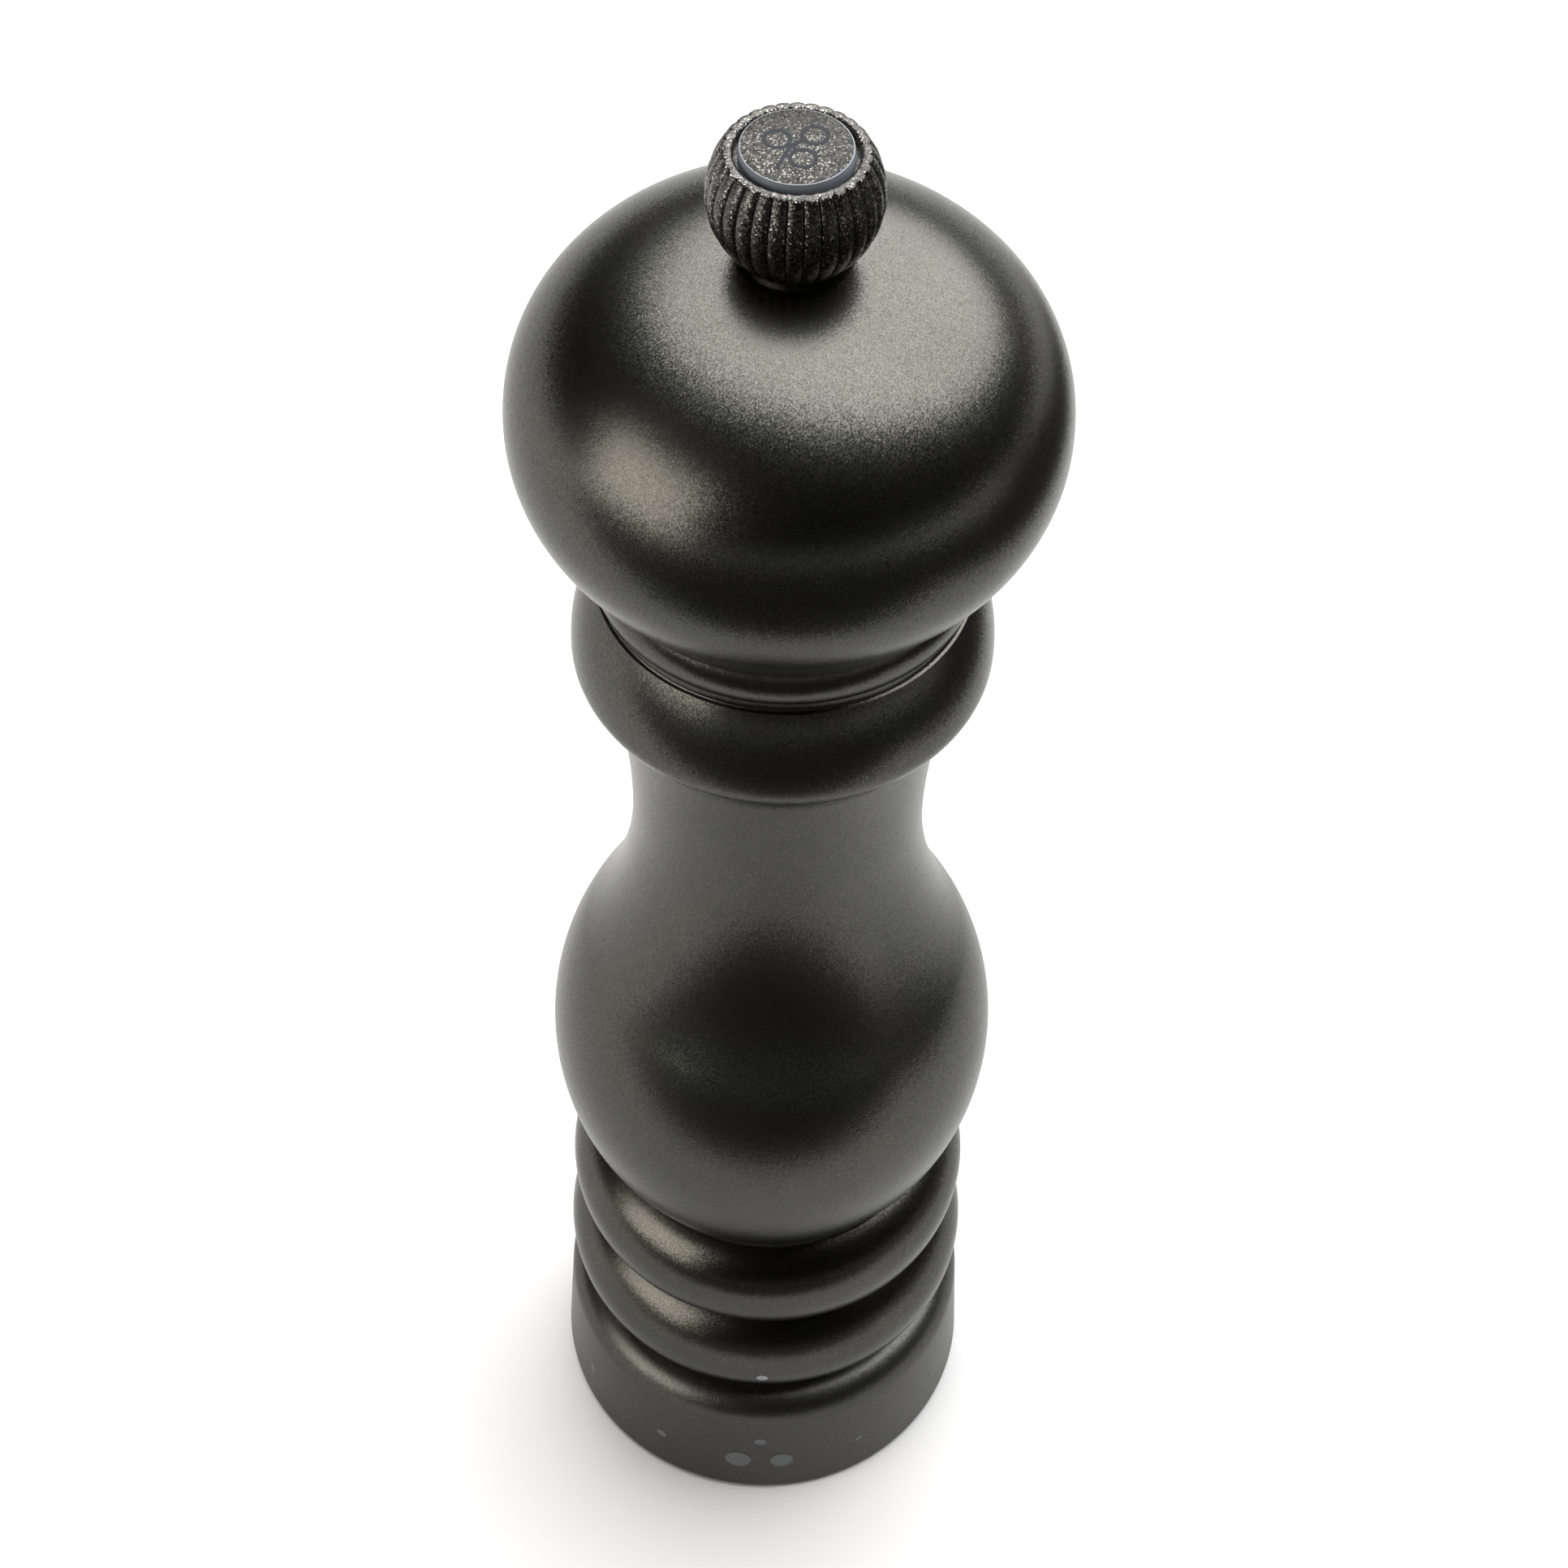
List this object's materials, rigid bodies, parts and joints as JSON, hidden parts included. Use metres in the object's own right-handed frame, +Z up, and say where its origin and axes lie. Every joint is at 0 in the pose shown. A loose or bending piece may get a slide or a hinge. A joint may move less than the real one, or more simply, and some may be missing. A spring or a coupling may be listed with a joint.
{
  "type": "pepper mill",
  "caption": "Turned wooden pepper mill with a ball head, a fluted knob, a square spindle, a conical grinder and a selector ring at the base.",
  "frame": {"origin": "centre of the base, in the plane that the selector ring stands on", "axes": "+Z up along the spindle towards the knob; -Y towards the selector ring's index dot"},
  "size_m": [0.0588, 0.0588, 0.22],
  "materials": {
    "lacquered_wood": "satin graphite metallic lacquer over turned beech",
    "knob_metal": "satin graphite lacquer with coarse flake over die-cast zinc",
    "knob_badge": "pale flake lacquer, bevelled",
    "knob_thread": "turned",
    "housing_plastic": "moulded, fine texture",
    "grinder_steel": "case-hardened, dark",
    "bridge_steel": "stamped, zinc plated",
    "spindle_aluminium": "drawn square bar",
    "spring_steel": "spring steel wire and strip",
    "screw_steel": "zinc plated",
    "bush_brass": "turned"
  },
  "bodies": {
    "barrel": {"wood_body": "lacquered_wood", "grinder_housing": "housing_plastic", "female_grinder": "grinder_steel", "grinder_circlip": "spring_steel", "upper_bridge": "bridge_steel", "bridge_screws": "screw_steel", "housing_screws": "screw_steel", "retaining_ring": "spring_steel", "click_spring": "spring_steel"},
    "selector_ring": {"adjust_ring": "lacquered_wood", "ring_cam": "housing_plastic"},
    "lower_bridge": {"lower_bridge": "bridge_steel", "thrust_washer": "bridge_steel"},
    "spindle": {"spindle": "spindle_aluminium", "spindle_clip": "spring_steel", "spindle_washer": "bridge_steel", "grinder_spring": "spring_steel"},
    "male_grinder": {"male_grinder": "grinder_steel"},
    "head": {"wood_head": "lacquered_wood", "drive_plate": "bridge_steel", "drive_plate_screws": "screw_steel", "head_bush": "bush_brass"},
    "knob_washer": {"knob_washer": "bridge_steel"},
    "knob": {"knob_shell": "knob_metal", "knob_insert": "knob_thread", "knob_badge": "knob_badge"}
  },
  "joints": [
    {"name": "ring_select", "type": "hinge", "parent": "barrel", "child": "selector_ring", "pos_m": [0, 0, 0], "axis": [0, 0, 1], "range_deg": [-60, 90]},
    {"name": "bridge_lift", "type": "slide", "parent": "barrel", "child": "lower_bridge", "axis": [0, 0, 1], "range_m": [-0.00061, 0.00091]},
    {"name": "grind_turn", "type": "hinge", "parent": "barrel", "child": "spindle", "pos_m": [0, 0, 0], "axis": [0, 0, 1], "continuous": true},
    {"name": "male_lift", "type": "slide", "parent": "spindle", "child": "male_grinder", "axis": [0, 0, 1], "range_m": [-0.00061, 0.00091], "deforming": ["grinder_spring"]},
    {"name": "head_lift", "type": "slide", "parent": "spindle", "child": "head", "axis": [0, 0, 1], "range_m": [0, 0.07]},
    {"name": "knob_rise", "type": "slide", "parent": "head", "child": "knob_washer", "axis": [0, 0, 1], "range_m": [0, 0.004]},
    {"name": "knob_turn", "type": "hinge", "parent": "knob_washer", "child": "knob", "pos_m": [0, 0, 0.21], "axis": [0, 0, 1], "range_deg": [0, 1801]}
  ],
  "couplings": [
    {"joint": "bridge_lift", "follows": "ring_select", "m_per_rad": 0.00057296},
    {"joint": "male_lift", "follows": "ring_select", "m_per_rad": 0.00057296},
    {"joint": "knob_turn", "follows": "knob_rise", "rad_per_m": 7854}
  ]
}
